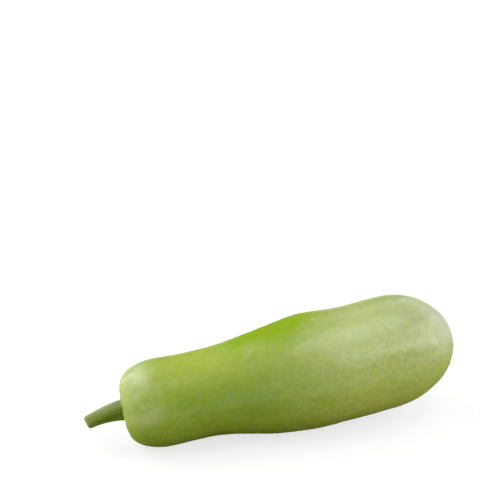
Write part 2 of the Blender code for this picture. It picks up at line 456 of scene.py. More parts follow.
inside_crest = (outline_along < HOLLOW_DEPTH + SOCKET_DEPTH) * (outline_out <= CREST_RADIUS)
hollow = inside_crest * (1 - smooth_step(outline_out, SOCKET_RADIUS, CREST_RADIUS))
far_half = outline_along > FRUIT_LENGTH / 2
scar = far_half * (1 - smooth_step(outline_out, STAIN_START, STAIN_END))
every_side = np.ones(FRUIT_SIDES)
keep_value(fruit, "hollow", hollow * every_side, 0, 1)
keep_value(fruit, "scar", scar * every_side, 1, 0)
keep_value(fruit, "creased", creased, 0, 0)
print("points in the hollow:", int((hollow > 0).sum()) * FRUIT_SIDES)

# %% [markdown]
# Zones of colour. Several are painted light and shade. The deep lime on the back is painted
# green bounce light, and the top of the neck and its low end are painted lighter. The belly's pale
# wax is partly a painted sheen, the shoulder gets a painted highlight and the cheek beside the stem
# a painted sheen, and painted shade and sheen grey the blossom end. The neck is deeper on its
# flank, and the side that lay on the soil is yellowish. An image could be painted for this, but a
# few soft patches can be moved and resized by hand. A patch with an even edge looks pasted on, so
# the places that the patches are measured from wander a little, and every edge comes out ragged.

# %% Soft patches with ragged edges
EDGE_SIZE = 0.030
EDGE_WANDER = 0.014
EDGE_TURN = 0.20
NOISE_SHIFT = 1.0

zone_along = outline_along + EDGE_WANDER * unevenness(fruit_points, EDGE_SIZE)
zone_turn = fruit_turn + EDGE_TURN * unevenness(fruit_points + NOISE_SHIFT, EDGE_SIZE)


def zone(place, spread, turn, width):
    """A soft patch: its place and spread along the fruit, and its turn and width in degrees."""
    from_middle = away_from(zone_turn, math.radians(turn))
    return bump(zone_along, place, spread) * bump(from_middle, 0, math.radians(width))


print("the patches' edges wander by up to", EDGE_WANDER * 1000, "mm")

# %% The painted green bounce light on the back
# Painted light: the deep lime on the back stands in for green light thrown back onto it and for the
# white reflection that is missing there.
BRIGHT_START = 0.066
BRIGHT_FADE = 0.048
BRIGHT_END = 0.183
BRIGHT_STOP = 0.040
BRIGHT_TURN = math.radians(70)
BRIGHT_CORE = math.radians(16)
BRIGHT_WIDTH = math.radians(62)

bright = smooth_step(zone_along, BRIGHT_START, BRIGHT_START + BRIGHT_FADE)
bright = bright * (1 - smooth_step(zone_along, BRIGHT_END - BRIGHT_STOP, BRIGHT_END))
from_bright = away_from(zone_turn, BRIGHT_TURN)
bright = bright * (1 - smooth_step(from_bright, BRIGHT_CORE, BRIGHT_WIDTH))
print("points on the bright back:", int((bright > 0.5).sum()))

# %% The other zones, kept on the skin
LOW_BOUNCE_STRENGTH = 0.7
CHEEK_STRENGTH = 0.55
NECK_DULLNESS = 0.65

# Painted light: the low stem end on the near side gets painted bounce light, and the top of the neck
# is painted lighter where light falls on it.
painted_low_bounce = zone(place=0.002, spread=0.014, turn=184, width=26)
painted_neck_light = zone(place=0.070, spread=0.045, turn=98, width=38) + LOW_BOUNCE_STRENGTH * painted_low_bounce
# Painted sheen on the cheek beside the stem, and a painted highlight on the top of the shoulder.
cheek = zone(place=0.018, spread=0.011, turn=168, width=18)
shoulder = zone(place=0.013, spread=0.007, turn=106, width=28)
skin_zones = {
    "painted_green_bounce": bright,
    "painted_neck_light": painted_neck_light,
    # No coat where light is painted on the back and the neck, so no white reflection pales it.
    "dull_under_painted_light": np.maximum(bright, NECK_DULLNESS * painted_neck_light),
    # Painted shade and sheen: the blossom end is greyed and darkened where less light falls, and its
    # rim sheens grey.
    "grey_tip_shade_and_sheen": zone(place=0.273, spread=0.040, turn=122, width=58),
    "soil_side": zone(place=0.205, spread=0.060, turn=230, width=48),
    "deep_flank": zone(place=0.090, spread=0.058, turn=158, width=34),
    # Pale wax on the upper belly, partly a painted sheen where the lights are reflected.
    "belly_wax_and_sheen": zone(place=0.193, spread=0.060, turn=110, width=48),
    "painted_shoulder_highlight": shoulder + CHEEK_STRENGTH * cheek,
}
for zone_name, mask in skin_zones.items():
    keep_value(fruit, zone_name, mask, 0, 0)
print("zones on the skin:", sorted(skin_zones))

# %% [markdown]
# The stem. A gourd hangs on a tough five-ridged stem that flares into the fruit. It was cut square
# a few centimetres up, and droops under its own bend. The solid has its line, taper and ridges.
# Here the ridges get narrow grooves, fine fibres run along them, and the cut end has a rounded
# edge and a dished middle.

# %% The stem's line and thickness
GAP = 0.0003
STEM_LENGTH = 0.0375
STEM_ROOT_RADIUS = SOCKET_RADIUS - GAP
STEM_CUT_RADIUS = 0.0051
STEM_FLARE = 1.4
STEM_SIDES = 120
SHAFT_RINGS = 64
CUT_EDGE = 0.0024
CUT_EDGE_RINGS = 3
CUT_DISH = 0.0007
CUT_DISH_START = 0.55
CUT_RINGS = 8


def stem_outline():
    """Distance out of the socket and radius of the stem's rings, from its root to its cut."""
    root = GAP - SOCKET_DEPTH
    shaft = np.linspace(root, STEM_LENGTH - CUT_EDGE, SHAFT_RINGS)
    share = np.clip(shaft / STEM_LENGTH, 0, 1)
    flare = (STEM_ROOT_RADIUS - STEM_CUT_RADIUS) * (1 - share) ** STEM_FLARE
    shaft_radius = STEM_CUT_RADIUS + flare
    edge = np.linspace(0, math.pi / 2, CUT_EDGE_RINGS + 1)[1:]
    edge_out = STEM_LENGTH - CUT_EDGE + CUT_EDGE * np.sin(edge)
    edge_radius = shaft_radius[-1] - CUT_EDGE * (1 - np.cos(edge))
    inner = np.linspace(1, 0, CUT_RINGS + 1)[1:-1]
    cut_radius = inner * edge_radius[-1]
    cut_out = STEM_LENGTH - CUT_DISH * (1 - smooth_step(inner, CUT_DISH_START, 1.0))
    out = np.concatenate([shaft, edge_out, cut_out])
    radius = np.concatenate([shaft_radius, edge_radius, cut_radius])
    return out[:, None], radius[:, None]


stem_out, stem_radius = stem_outline()
print("rings on the stem:", len(stem_out))

# %% How the stem droops
STEM_LIFT = math.radians(6)
STEM_DROOP = math.radians(17.5)
STEM_DROOP_DIRECTION = (0.0, -0.37, -0.93)


def stem_line(out):
    """The stem's middle line, with unit vectors ahead, level across it and square to both."""
    rim = np.array(hollow_depth(SOCKET_RADIUS))
    forward, side, _ = axis_frame(rim)
    base = -forward
    droop = np.array(STEM_DROOP_DIRECTION)
    droop -= base * (droop @ base)
    droop /= np.linalg.norm(droop)

    full_bend = STEM_LIFT + STEM_DROOP
    arc_radius = STEM_LENGTH / full_bend
    bend = full_bend * np.clip(out, 0, None) / STEM_LENGTH - STEM_LIFT
    reach = arc_radius * (np.sin(bend) + math.sin(STEM_LIFT)) + np.clip(out, None, 0)
    drop = arc_radius * (math.cos(STEM_LIFT) - np.cos(bend))
    centre = axis_point(rim) + base * reach + droop * drop
    bend = bend * (out > 0)
    ahead = base * np.cos(bend) + droop * np.sin(bend)
    across = np.cross(ahead, side)
    across /= np.linalg.norm(across, axis=-1, keepdims=True)
    return centre, ahead, np.cross(across, ahead), across


print("the stem bends by", round(math.degrees(STEM_LIFT + STEM_DROOP), 1), "degrees in all")

# %% The stem's ridges and fibres
STEM_RIDGES = 5
RIDGE_SHARE = 0.075
RIDGE_START = 0.010
RIDGE_TWIST = math.radians(20)
RIDGE_FULLNESS = 1.6
FIBRES = 38
FIBRE_HEIGHT = 0.00007
FIBRE_SWAY = 1.5
FIBRE_SWAY_LENGTH = 0.006
CUT_MIDDLE_DEPTH = 0.0001

stem_turn = around(STEM_SIDES)


def stem_rings():
    """The stem's rings of points, the points that close it, and how high on a ridge each is."""
    centre, ahead, level, across = stem_line(stem_out)
    twisted = stem_turn + RIDGE_TWIST * stem_out / STEM_LENGTH
    groove = (1 - np.cos(STEM_RIDGES * twisted)) / 2
    ridge = 1 - 2 * groove**RIDGE_FULLNESS
    free = smooth_step(stem_out, 0, RIDGE_START)
    sway = FIBRE_SWAY * np.sin(stem_out / FIBRE_SWAY_LENGTH + 2 * stem_turn)
    fibre = np.cos(FIBRES * twisted + sway)
    ridged = stem_radius * (1 + RIDGE_SHARE * free * ridge) + FIBRE_HEIGHT * free * fibre
    outward = np.cos(stem_turn)[:, None] * level[:, None]
    outward = outward + np.sin(stem_turn)[:, None] * across[:, None]
    points = centre[:, None] + ridged[..., None] * outward
    cut_middle = centre[-1] - ahead[-1] * CUT_MIDDLE_DEPTH
    return points, centre[0], cut_middle, (0.5 + 0.5 * ridge) * free


stem_points, root_middle, cut_middle, ridge_height = stem_rings()
stem_points = np.clip(stem_points + frame_shift, *np.array(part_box("stem")))
stem = loft("gourd_stem", stem_points, (root_middle + frame_shift, cut_middle + frame_shift))
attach(stem, "root")
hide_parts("stem")
print("faces on the stem:", len(stem.data.polygons))

# %% [markdown]
# Where the stem's colours go. Its fibres need growth coordinates as the skin's streaks do. Its
# ridges, its upper side, which gets a painted sheen, and its dry cut are masks.

# %% Growth coordinates and zones on the stem
UPPER_TURN = math.radians(280)
UPPER_WIDTH = math.radians(52)
UPPER_CORE = 0.6 * UPPER_WIDTH

stem_growth = straightened(stem_out, STEM_ROOT_RADIUS, stem_turn)
on_cut = (np.arange(len(stem_out)) >= SHAFT_RINGS)[:, None]
dryness = on_cut * smooth_step(STEM_CUT_RADIUS - stem_radius, 0, CUT_EDGE) * np.ones(STEM_SIDES)
# Painted sheen: the stem's upper side is paler, where light from above falls and is reflected.
from_upper = away_from(stem_turn, UPPER_TURN)
stem_top_sheen = (1 - smooth_step(from_upper, UPPER_CORE, UPPER_WIDTH)) * np.ones_like(stem_out)
keep_value(stem, "growth", stem_growth, (0, 0, 0), (STEM_LENGTH, 0, 0))
keep_value(stem, "ridge", ridge_height, 0, 1)
keep_value(stem, "dry", dryness, 0, 1)
keep_value(stem, "stem_top_sheen", stem_top_sheen, 0, 0)
print("rings on the dry cut:", int(on_cut.sum()))

# %% [markdown]
# The corky ring. Where the stem leaves the fruit the skin has healed into a thin, lumpy ring, and
# it hides the hairline gap between the two solids. It is a small closed tube swept round the
# socket's edge, thicker at some places than others.

# %% The ring round the stem's root
RING_STEPS = 120
RING_SIDES = 12
RING_THICKNESS = 0.00085
RING_OUT = 0.0001
LUMP_SIZE = 0.0021
LUMP_SHARE = 0.22
SLOW_SIZE = 0.007
SLOW_SHARE = 0.2
SLOW_PLACE = Vector((5, 0, 0))


def ring_points():
    """Points of the corky ring: one small lumpy section at each step round the socket."""
    rim = np.array(hollow_depth(SOCKET_RADIUS) - RING_OUT)
    forward, side, top = axis_frame(rim)
    section = around(RING_SIDES)
    rings = []
    for turn in around(RING_STEPS):
        outward = math.cos(turn) * side + math.sin(turn) * top
        middle = axis_point(rim) + (SOCKET_RADIUS - GAP / 2) * outward
        lump = LUMP_SHARE * noise.noise(Vector(middle / LUMP_SIZE))
        slow = SLOW_SHARE * noise.noise(Vector(middle / SLOW_SIZE) + SLOW_PLACE)
        thickness = RING_THICKNESS * (1 + lump + slow)
        reach = np.cos(section)[:, None] * outward + np.sin(section)[:, None] * forward
        rings.append(middle + frame_shift + thickness * reach)
    return rings


corky_ring = loft("corky_ring", ring_points())
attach(corky_ring, "root")
print("faces on the ring:", len(corky_ring.data.polygons))

# %% [markdown]
# Nodes in a few words. A material is a small network. These helpers add a node, fill its sockets
# and link it in one line, so that each material below reads from top to bottom. A Mix node has a
# set of sockets for each kind of value, and the ones for colours are found by their numbers.

# %% Helpers for building node networks
MIX_UNDER = 6
MIX_OVER = 7
MIXED = 2


def fill(tree, node, inputs):
    """Fills a node's inputs: a socket is linked, and a number or a colour is set as a value."""
    for name, value in dict(inputs).items():
        if isinstance(value, bpy.types.NodeSocket):
            tree.links.new(value, node.inputs[name])
        elif node.inputs[name].type == "RGBA":
            node.inputs[name].default_value = (*value, 1.0)
        else:
            node.inputs[name].default_value = value


def add(tree, kind, inputs=(), **settings):
    """Adds a node with its settings and inputs."""
    node = tree.nodes.new(kind)
    for name, value in settings.items():
        setattr(node, name, value)
    fill(tree, node, inputs)
    return node


def calculate(tree, operation, first, second):
    """One sum on two numbers or sockets."""
    return add(tree, "ShaderNodeMath", {0: first, 1: second}, operation=operation).outputs[0]


def calculate_vector(tree, operation, inputs, output="Vector"):
    """One sum on vectors."""
    node = add(tree, "ShaderNodeVectorMath", inputs, operation=operation)
    return node.outputs[output]


def soft_range(tree, value, start, end, low=0.0, high=1.0):
    """Turns a value into low before start and high after end, with a smooth change between."""
    inputs = {"Value": value, "From Min": start, "From Max": end, "To Min": low, "To Max": high}
    node = add(tree, "ShaderNodeMapRange", inputs, interpolation_type="SMOOTHSTEP")
    return node.outputs["Result"]


def tint(tree, colour, over, mask, strength=None):
    """Lays a second colour over the first where the mask is white, at a given strength."""
    if strength is not None:
        mask = calculate(tree, "MULTIPLY", mask, strength)
    inputs = {"Factor": mask, MIX_UNDER: colour, MIX_OVER: over}
    return add(tree, "ShaderNodeMix", inputs, data_type="RGBA").outputs[MIXED]


def attribute(tree, name, output="Fac"):
    """Reads a value that was kept on the mesh."""
    return add(tree, "ShaderNodeAttribute", attribute_name=name).outputs[output]


def piece_place(tree):
    """Where a point is on the piece, in metres."""
    return add(tree, "ShaderNodeTexCoord").outputs["Object"]


print("node helpers are ready")

# %% [markdown]
# Groups. An effect that several materials use is built once as a node group with named sockets, and
# is then placed in each material with its own values.

# %% Helpers for groups
def new_group(name, place, output, **numbers):
    """An empty node group that reads a place and some numbers: its tree and its two ends."""
    tree = bpy.data.node_groups.new(name, "ShaderNodeTree")
    tree.interface.new_socket(place, in_out="INPUT", socket_type="NodeSocketVector")
    for number, value in numbers.items():
        socket = tree.interface.new_socket(number, in_out="INPUT", socket_type="NodeSocketFloat")
        socket.default_value = value
    tree.interface.new_socket(output, in_out="OUTPUT", socket_type="NodeSocketFloat")
    start = tree.nodes.new("NodeGroupInput")
    end = tree.nodes.new("NodeGroupOutput")
    return tree, start.outputs, end.inputs


def place_group(tree, group, **inputs):
    """Adds a node group with its values, and gives its output."""
    return add(tree, "ShaderNodeGroup", inputs, node_tree=group).outputs[0]


def cloud_noise(tree, place, size, detail, grain=0.5):
    """Noise with clouds of a given size in metres."""
    scale = calculate(tree, "DIVIDE", 1.0, size)
    inputs = {"Vector": place, "Scale": scale, "Detail": detail, "Roughness": grain}
    return add(tree, "ShaderNodeTexNoise", inputs).outputs["Fac"]


def stretched_middle(tree, value, softness):
    """Stretches the middle of a noise to a mask, crisper where the softness is smaller."""
    half = calculate(tree, "MULTIPLY", softness, 0.5)
    start = calculate(tree, "SUBTRACT", 0.5, half)
    end = calculate(tree, "ADD", 0.5, half)
    return soft_range(tree, value, start, end)


print("group helpers are ready")

# %% [markdown]
# Blotches. Skin, stem and cork all vary softly in tone. One noise texture, with its middle
# stretched to a mask, makes the blotches at any size.

# %% Group: soft blotches
def make_blotches():
    """Soft round blotches of a given size in metres."""
    numbers = {"Size": 0.02, "Grain": 0.55, "Softness": 0.3}
    tree, given, result = new_group("soft_blotches", "Place", "Mask", **numbers)
    cloud = cloud_noise(tree, given["Place"], given["Size"], detail=4.0, grain=given["Grain"])
    tree.links.new(stretched_middle(tree, cloud, given["Softness"]), result["Mask"])
    return tree


blotches_group = make_blotches()
print("made", blotches_group.name)

# %% [markdown]
# Streaks. Growth stretches every mark along the fruit and the stem. The streaks are the same noise
# with its place squeezed along the growth direction, so each blotch becomes a long streak.

# %% Group: growth streaks
def make_streaks():
    """Streaks along the growth direction: their width in metres, and how many times longer."""
    numbers = {"Width": 0.004, "Stretch": 8.0, "Softness": 0.3}
    tree, given, result = new_group("growth_streaks", "Growth", "Mask", **numbers)
    parts = add(tree, "ShaderNodeSeparateXYZ", {"Vector": given["Growth"]}).outputs
    squeezed = calculate(tree, "DIVIDE", parts["X"], given["Stretch"])
    inputs = {"X": squeezed, "Y": parts["Y"], "Z": parts["Z"]}
    place = add(tree, "ShaderNodeCombineXYZ", inputs).outputs["Vector"]
    cloud = cloud_noise(tree, place, given["Width"], detail=3.0, grain=0.6)
    tree.links.new(stretched_middle(tree, cloud, given["Softness"]), result["Mask"])
    return tree


streaks_group = make_streaks()
print("made", streaks_group.name)

# %% [markdown]
# Flecks. Pores and hair roots leave small dots, some pale and some dark, never in rows. A Voronoi
# texture has one point in each cell. A dot is drawn round it, and a random share of the cells
# stays empty.

# %% Group: small flecks
DOT_SIZES = (0.5, 1.3)
DOT_CORE = 0.4


def make_flecks():
    """Small round dots: their spacing in metres, their size as a share of it, and how many show."""
    numbers = {"Spacing": 0.005, "Size": 0.15, "Share": 0.5}
    tree, given, result = new_group("small_flecks", "Place", "Mask", **numbers)
    scale = calculate(tree, "DIVIDE", 1.0, given["Spacing"])
    cells = add(tree, "ShaderNodeTexVoronoi", {"Vector": given["Place"], "Scale": scale}).outputs
    chance = add(tree, "ShaderNodeSeparateColor", {"Color": cells["Color"]}).outputs
    dot_size = soft_range(tree, chance["Green"], 0.0, 1.0, *DOT_SIZES)
    dot_size = calculate(tree, "MULTIPLY", given["Size"], dot_size)
    core = calculate(tree, "MULTIPLY", dot_size, DOT_CORE)
    dot = soft_range(tree, cells["Distance"], core, dot_size, 1.0, 0.0)
    shown = calculate(tree, "LESS_THAN", chance["Red"], given["Share"])
    tree.links.new(calculate(tree, "MULTIPLY", dot, shown), result["Mask"])
    return tree


flecks_group = make_flecks()
print("made", flecks_group.name)

# %% [markdown]
# Fine relief. Seen close, waxy skin isn't smooth: it has a faint orange-peel and tiny pores. Stem
# and cork are rougher. One height made of two noises serves them all, each with its own size.

# %% Group: fine relief
FINE_SIZE = 0.25
HEIGHT_SCALE = 0.66


def make_relief():
    """A height between 0 and 1 from a slow and a fine unevenness."""
    numbers = {"Size": 0.002, "Fineness": 0.5}
    tree, given, result = new_group("fine_relief", "Place", "Height", **numbers)
    slow = cloud_noise(tree, given["Place"], given["Size"], detail=2.0)
    fine_size = calculate(tree, "MULTIPLY", given["Size"], FINE_SIZE)
    fine = cloud_noise(tree, given["Place"], fine_size, detail=3.0)
    fine = calculate(tree, "MULTIPLY", fine, given["Fineness"])
    height = calculate(tree, "ADD", slow, fine)
    tree.links.new(calculate(tree, "MULTIPLY", height, HEIGHT_SCALE), result["Height"])
    return tree


relief_group = make_relief()
print("made", relief_group.name)

# %% [markdown]
# A material starts from one Principled shader. Bumps that are far too small to model come from a
# height that bends the normal.

# %% Start a material, and bend its normal
def new_material(name):
    """A material with its Principled shader, and the tree that they are in."""
    material = bpy.data.materials.new(name)
    material.use_nodes = True
    return material, material.node_tree, material.node_tree.nodes["Principled BSDF"]


def bent_normal(tree, height, strength, distance):
    """Normals for bumps that stand up to a distance in metres."""
    inputs = {"Height": height, "Strength": strength, "Distance": distance}
    return add(tree, "ShaderNodeBump", inputs).outputs["Normal"]


print("materials can be made")

# %% [markdown]
# The skin's colour. Young skin is a clear yellowish green at the neck and fades to a paler, greyer
# green at the blossom end. Over that lie large clouds and smaller patches of pale wax, patches that
# begin to ripen to yellow, grainy darker mottling, streaks from end to end, tiny pale flecks and a
# few dark ones. Each is one thin layer of colour with its own mask. The zones' colours come last.

# %% The plain skin
NECK_GREEN = (0.285, 0.412, 0.012)
BLOSSOM_GREEN = (0.445, 0.532, 0.090)
# A pale wax tone, also used for the painted sheen and highlight on the belly and the shoulder.
WAX_AND_SHEEN_PALE = (0.500, 0.565, 0.270)
RIPE_YELLOW = (0.460, 0.430, 0.050)
MOTTLE_GREEN = (0.190, 0.275, 0.035)
DEEP_GREEN = (0.150, 0.270, 0.006)
FADE_START = 0.080
FADE_END = 0.230
CLOUDS = {"Size": 0.028, "Grain": 0.72, "Softness": 0.36}
CLOUD_STRENGTH = (0.15, 0.26)
PATCHES = {"Size": 0.010, "Grain": 0.78, "Softness": 0.22}
PATCH_STRENGTH = (0.16, 0.42)
RIPENING = {"Size": 0.012, "Grain": 0.74, "Softness": 0.26}
RIPE_STRENGTH = 0.26
MOTTLING = {"Size": 0.0045, "Grain": 0.74, "Softness": 0.34}
MOTTLE_STRENGTH = 0.50
STREAKS = {"Width": 0.0080, "Stretch": 3.0, "Softness": 0.40}
STREAK_STRENGTH = 0.12


def cloudy_skin(tree, place, growth_place):
    """The plain skin: its fade from neck to blossom end, and the wax and mottling all over."""
    along = add(tree, "ShaderNodeSeparateXYZ", {"Vector": growth_place}).outputs["X"]
    colour = tint(tree, NECK_GREEN, BLOSSOM_GREEN, soft_range(tree, along, FADE_START, FADE_END))
    wax = place_group(tree, blotches_group, Place=place, **CLOUDS)
    strength = soft_range(tree, along, FADE_START, FADE_END, *CLOUD_STRENGTH)
    colour = tint(tree, colour, WAX_AND_SHEEN_PALE, wax, strength)
    patch = place_group(tree, blotches_group, Place=place, **PATCHES)
    strength = soft_range(tree, along, FADE_START, FADE_END, *PATCH_STRENGTH)
    colour = tint(tree, colour, WAX_AND_SHEEN_PALE, patch, strength)
    ripe = place_group(tree, blotches_group, Place=growth_place, **RIPENING)
    colour = tint(tree, colour, RIPE_YELLOW, ripe, RIPE_STRENGTH)
    mottled = place_group(tree, blotches_group, Place=place, **MOTTLING)
    colour = tint(tree, colour, MOTTLE_GREEN, mottled, MOTTLE_STRENGTH)
    streak = place_group(tree, streaks_group, Growth=growth_place, **STREAKS)
    return tint(tree, colour, DEEP_GREEN, streak, STREAK_STRENGTH), wax


print("skin colours from the neck", NECK_GREEN, "to the blossom end", BLOSSOM_GREEN)

# %% Flecks on the skin
FLECK_PALE = (0.560, 0.620, 0.300)
PALE_FLECKS = {"Spacing": 0.0060, "Size": 0.11, "Share": 0.55}
PALE_FLECK_STRENGTH = 0.45
FLECK_DARK = (0.150, 0.210, 0.030)
DARK_FLECKS = {"Spacing": 0.0130, "Size": 0.05, "Share": 0.35}
DARK_FLECK_STRENGTH = 0.55


def flecked_skin(tree, colour, place):
    """Pale and dark flecks on the skin."""
    pale = place_group(tree, flecks_group, Place=place, **PALE_FLECKS)
    colour = tint(tree, colour, FLECK_PALE, pale, PALE_FLECK_STRENGTH)
    dark = place_group(tree, flecks_group, Place=place, **DARK_FLECKS)
    return tint(tree, colour, FLECK_DARK, dark, DARK_FLECK_STRENGTH)


print("pale flecks stand", PALE_FLECKS["Spacing"] * 1000, "mm apart")

# %% The zones' colours
NECK_LIGHT = (0.400, 0.480, 0.060)
BOUNCE_LIME = (0.225, 0.355, 0.001)
SOIL_YELLOW = (0.560, 0.570, 0.130)
TIP_SHADE_GREY = (0.345, 0.375, 0.240)
HOLLOW_GREEN = (0.110, 0.190, 0.016)
SCAR_BROWN = (0.230, 0.165, 0.075)
LIME_ON_WAX = 0.88


def zoned_skin(tree, colour, wax):
    """The zones' colours, each with its strength, one over the other from first to last."""
    lime_strength = soft_range(tree, wax, 0.0, 1.0, 1.0, LIME_ON_WAX)
    layers = [
        ("deep_flank", DEEP_GREEN, 0.5),
        # painted light on the top of the neck and at the low stem end
        ("painted_neck_light", NECK_LIGHT, 0.6),
        # pale wax on the upper belly, partly a painted sheen
        ("belly_wax_and_sheen", WAX_AND_SHEEN_PALE, 0.6),
        # painted highlight on the shoulder and painted sheen on the cheek
        ("painted_shoulder_highlight", WAX_AND_SHEEN_PALE, 0.7),
        # painted green bounce light on the back
        ("painted_green_bounce", BOUNCE_LIME, lime_strength),
        ("soil_side", SOIL_YELLOW, 0.6),
        # painted shade and grey sheen at the blossom end
        ("grey_tip_shade_and_sheen", TIP_SHADE_GREY, 0.85),
        # painted shade: darker green in the creases
        ("creased", DEEP_GREEN, 0.5),
        # painted shade: darker green down in the hollow round the stem
        ("hollow", HOLLOW_GREEN, None),
        ("scar", SCAR_BROWN, None),
    ]
    for zone_name, zone_colour, strength in layers:
        colour = tint(tree, colour, zone_colour, attribute(tree, zone_name), strength)
    return colour


print("the bright back's lime:", BOUNCE_LIME)

# %% [markdown]
# The skin's finish. A thin natural wax gives a broad, soft shine, so the skin is fairly rough with
# a smoother coat. The wax is patchy, and it is left off, so the skin stays dull, where light is
# painted on the back and the neck, and no white reflection pales the painted light there. Seen
# edge-on a coat mirrors like glass, which powdery wax doesn't, so the coat thins out there. An
# orange-peel a fifth of a millimetre high breaks up the shine.

# %% The skin's material
SKIN_ROUGHNESS = (0.46, 0.56)
DULL_ROUGHNESS = 0.95
COAT_PATCHES = {"Size": 0.012, "Grain": 0.75, "Softness": 0.3}
WAX_COAT = 1.0
THIN_COAT = 0.55
EDGE_ON = (0.62, 0.97)
EDGE_COAT = 0.35
WAX_ROUGHNESS = 0.27
WAX_IOR = 1.55
UNDER_WAX_GLOSS = 0.15
PEEL = {"Size": 0.0035, "Fineness": 0.35}
PEEL_STRENGTH = 0.5
PEEL_HEIGHT = 0.0002


def wax_coat(tree, place, dull):
    """How much wax lies on the skin: patchy, thinner edge-on, and none where light is painted."""
    thinner = place_group(tree, blotches_group, Place=place, **COAT_PATCHES)
    coat = soft_range(tree, thinner, 0.0, 1.0, WAX_COAT, THIN_COAT)
    facing = add(tree, "ShaderNodeLayerWeight").outputs["Facing"]
    coat = calculate(tree, "MULTIPLY", coat, soft_range(tree, facing, *EDGE_ON, 1.0, EDGE_COAT))
    return soft_range(tree, dull, 0.0, 1.0, coat, 0.0)


def make_skin():
    """The fruit's waxy skin."""
    material, tree, shader = new_material("gourd_skin")
    place = piece_place(tree)
    colour, wax = cloudy_skin(tree, place, attribute(tree, "growth", "Vector"))
    colour = flecked_skin(tree, colour, place)
    dull = attribute(tree, "dull_under_painted_light")
    roughness = soft_range(tree, wax, 0.0, 1.0, *SKIN_ROUGHNESS)
    relief = place_group(tree, relief_group, Place=place, **PEEL)
    inputs = {
        "Base Color": zoned_skin(tree, colour, wax),
        "Roughness": soft_range(tree, dull, 0.0, 1.0, roughness, DULL_ROUGHNESS),
        "Coat Weight": wax_coat(tree, place, dull),
        "Coat Roughness": WAX_ROUGHNESS,
        "Coat IOR": WAX_IOR,
        "Specular IOR Level": UNDER_WAX_GLOSS,
        "Normal": bent_normal(tree, relief, PEEL_STRENGTH, PEEL_HEIGHT),
    }
    fill(tree, shader, inputs)
    return material


fruit.data.materials.append(make_skin())
print("the fruit's material:", fruit.data.materials[0].name)

# %% [markdown]
# The stem's finish. It is olive green, a little paler on its ridges with painted shade in its
# grooves, much paler along its upper side where a sheen is painted, and more yellow towards its
# tip. Fibres streak it lengthwise, and it has the same flecks as the skin. Only the cut face has
# dried to a pale tan.

# %% Stem colours
RIDGE_GREEN = (0.190, 0.262, 0.024)
GROOVE_GREEN = (0.145, 0.205, 0.014)
RIDGE_EDGE = 0.25
FIBRE_STRENGTH = 0.35
STEM_PATCHES = {"Size": 0.006, "Grain": 0.55, "Softness": 0.4}
STEM_FLECKS = {"Spacing": 0.0022, "Size": 0.13, "Share": 0.5}
STEM_MARK_STRENGTH = 0.25
UPPER_SHEEN_PALE = (0.345, 0.390, 0.170)
UPPER_STRENGTH = 0.8
TIP_OLIVE = (0.240, 0.275, 0.050)
TIP_START = 0.026
TIP_STRENGTH = 0.8
CUT_TAN = (0.400, 0.380, 0.170)


def stem_colour(tree, growth_place, place, fibres):
    """The stem's olive green, from its grooves to its dry cut."""
    # Painted shade: the grooves are a darker green than the ridges.
    ridge = soft_range(tree, attribute(tree, "ridge"), RIDGE_EDGE, 1.0)
    colour = tint(tree, GROOVE_GREEN, RIDGE_GREEN, ridge)
    colour = tint(tree, colour, RIDGE_GREEN, fibres, FIBRE_STRENGTH)
    patch = place_group(tree, blotches_group, Place=place, **STEM_PATCHES)
    colour = tint(tree, colour, GROOVE_GREEN, patch, STEM_MARK_STRENGTH)
    fleck = place_group(tree, flecks_group, Place=place, **STEM_FLECKS)
    colour = tint(tree, colour, FLECK_PALE, fleck, STEM_MARK_STRENGTH)
    # painted sheen along the upper side
    colour = tint(tree, colour, UPPER_SHEEN_PALE, attribute(tree, "stem_top_sheen"), UPPER_STRENGTH)
    along = add(tree, "ShaderNodeSeparateXYZ", {"Vector": growth_place}).outputs["X"]
    near_tip = soft_range(tree, along, TIP_START, STEM_LENGTH, 0.0, TIP_STRENGTH)
    colour = tint(tree, colour, TIP_OLIVE, near_tip)
    return tint(tree, colour, CUT_TAN, attribute(tree, "dry"))


print("stem colours from", GROOVE_GREEN, "to", RIDGE_GREEN)

# %% The stem's material
THREADS = {"Width": 0.0009, "Stretch": 14.0, "Softness": 0.5}
THREAD_HEIGHT = 0.6
STEM_ROUGHNESS = (0.50, 0.66)
STEM_GLOSS = 0.25
STEM_GRAIN = {"Size": 0.0012, "Fineness": 0.6}
STEM_BUMP_STRENGTH = 0.6
STEM_BUMP_HEIGHT = 0.0002


def make_stem_green():
    """The stem's ridged, fibrous outside."""
    material, tree, shader = new_material("stem_green")
    growth_place = attribute(tree, "growth", "Vector")
    place = piece_place(tree)
    fibres = place_group(tree, streaks_group, Growth=growth_place, **THREADS)
    relief = place_group(tree, relief_group, Place=place, **STEM_GRAIN)
    height = calculate(tree, "ADD", relief, calculate(tree, "MULTIPLY", fibres, THREAD_HEIGHT))
    inputs = {
        "Base Color": stem_colour(tree, growth_place, place, fibres),
        "Roughness": soft_range(tree, fibres, 0.0, 1.0, *STEM_ROUGHNESS),
        "Specular IOR Level": STEM_GLOSS,
        "Normal": bent_normal(tree, height, STEM_BUMP_STRENGTH, STEM_BUMP_HEIGHT),
    }
    fill(tree, shader, inputs)
    return material


stem.data.materials.append(make_stem_green())
print("the stem's material:", stem.data.materials[0].name)

# %% [markdown]
# Cork is dull, dry and brown, with cracks and lighter crumbs. Where it is thin, the green of the
# hollow shows through it.

